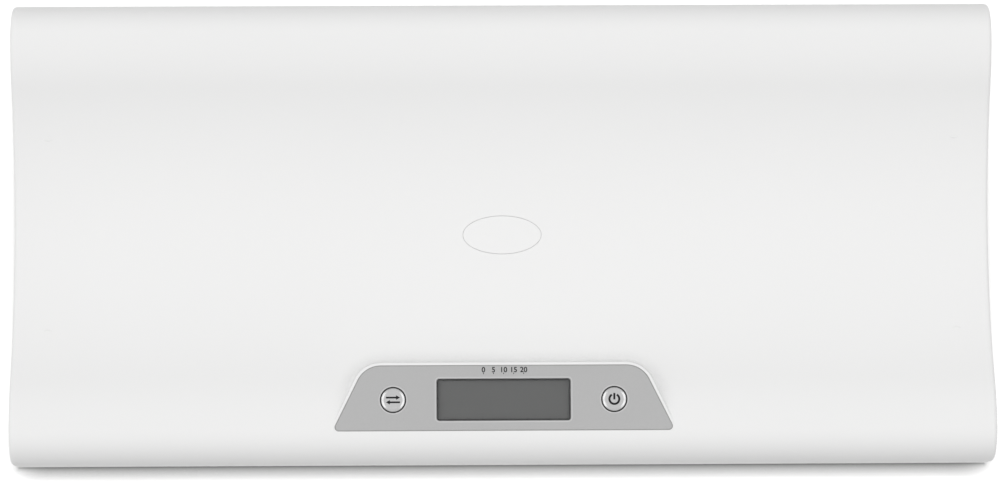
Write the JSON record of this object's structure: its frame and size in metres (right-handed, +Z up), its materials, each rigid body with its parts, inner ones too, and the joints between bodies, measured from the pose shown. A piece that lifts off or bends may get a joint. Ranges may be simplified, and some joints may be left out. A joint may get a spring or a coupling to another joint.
{
  "type": "baby scale",
  "caption": "Baby weighing scale: a trough-shaped tray with rolled lips, a pod with display and push buttons, weighing feet and a hinged battery door underneath.",
  "frame": {"origin": "on the table under the middle of the tray", "axes": "+X along the tray towards the right-hand button, +Y away from the control pod, +Z up"},
  "size_m": [0.59, 0.2778, 0.0657],
  "materials": {
    "shell_white": "fine satin gloss, smooth moulded",
    "base_white": "fine spark-eroded texture",
    "silver_film": "satin silver-grey film",
    "silver_cap": "satin silver coating, dished top",
    "clear_lens": "clear, polished",
    "display_glass": "grey polarised display, unlit",
    "grey_moulding": "moulded",
    "soft_black": "smooth",
    "black_moulding": "moulded",
    "board_green": "solder resist over laminate",
    "pad_rubber": "fine matt",
    "cell_steel": "stamped and plated",
    "screw_steel": "plated",
    "contact_steel": "bright nickel plate",
    "battery_sleeve": "printed sleeve left plain",
    "lead_grey": "smooth jacket",
    "lead_red": "smooth jacket",
    "lead_black": "smooth jacket"
  },
  "bodies": {
    "scale_body": {"tray_shell": "shell_white", "oval_badge": "shell_white", "base_cover": "base_white", "foot_front_left": "base_white", "foot_front_right": "base_white", "foot_rear_left": "base_white", "foot_rear_right": "base_white", "panel_overlay": "silver_film", "lcd_window": "clear_lens", "lcd_panel": "display_glass", "lcd_holder": "grey_moulding", "zebra_strip_front": "soft_black", "zebra_strip_rear": "soft_black", "unit_switch": "black_moulding", "power_switch": "black_moulding", "main_board": "board_green", "foot_pad_front_left": "pad_rubber", "foot_pad_front_right": "pad_rubber", "foot_pad_rear_left": "pad_rubber", "foot_pad_rear_right": "pad_rubber", "load_cell_front_left": "cell_steel", "load_cell_front_right": "cell_steel", "load_cell_rear_left": "cell_steel", "load_cell_rear_right": "cell_steel", "board_screw_front_left": "screw_steel", "board_screw_front_right": "screw_steel", "board_screw_rear_left": "screw_steel", "board_screw_rear_right": "screw_steel", "housing_screw_front_left_end": "screw_steel", "housing_screw_front_left_side": "screw_steel", "housing_screw_front_right_end": "screw_steel", "housing_screw_front_right_side": "screw_steel", "housing_screw_rear_left_end": "screw_steel", "housing_screw_rear_left_side": "screw_steel", "housing_screw_rear_right_end": "screw_steel", "housing_screw_rear_right_side": "screw_steel", "contact_front_left": "contact_steel", "contact_front_middle": "contact_steel", "contact_front_right": "contact_steel", "contact_rear_left": "contact_steel", "contact_rear_right": "contact_steel", "battery_1": "battery_sleeve", "battery_2": "battery_sleeve", "battery_3": "battery_sleeve", "battery_4": "battery_sleeve", "load_cell_lead_front_left": "lead_grey", "load_cell_lead_front_right": "lead_grey", "load_cell_lead_rear_left": "lead_grey", "load_cell_lead_rear_right": "lead_grey", "battery_lead_red": "lead_red", "battery_lead_black": "lead_black"},
    "unit_button": {"unit_button": "silver_cap", "unit_plunger": "soft_black"},
    "power_button": {"power_button": "silver_cap", "power_plunger": "soft_black"},
    "battery_door": {"battery_door": "base_white"}
  },
  "joints": [
    {"name": "unit_button_press", "type": "slide", "parent": "scale_body", "child": "unit_button", "axis": [0, 0, -1], "range_m": [0, 0.0006], "stiffness_N_per_m": 2500},
    {"name": "power_button_press", "type": "slide", "parent": "scale_body", "child": "power_button", "axis": [0, 0, -1], "range_m": [0, 0.0006], "stiffness_N_per_m": 2500},
    {"name": "battery_door_swing", "type": "hinge", "parent": "scale_body", "child": "battery_door", "pos_m": [0, 0.00555, 0.01], "axis": [-1, 0, 0], "range_deg": [0, 80]}
  ]
}
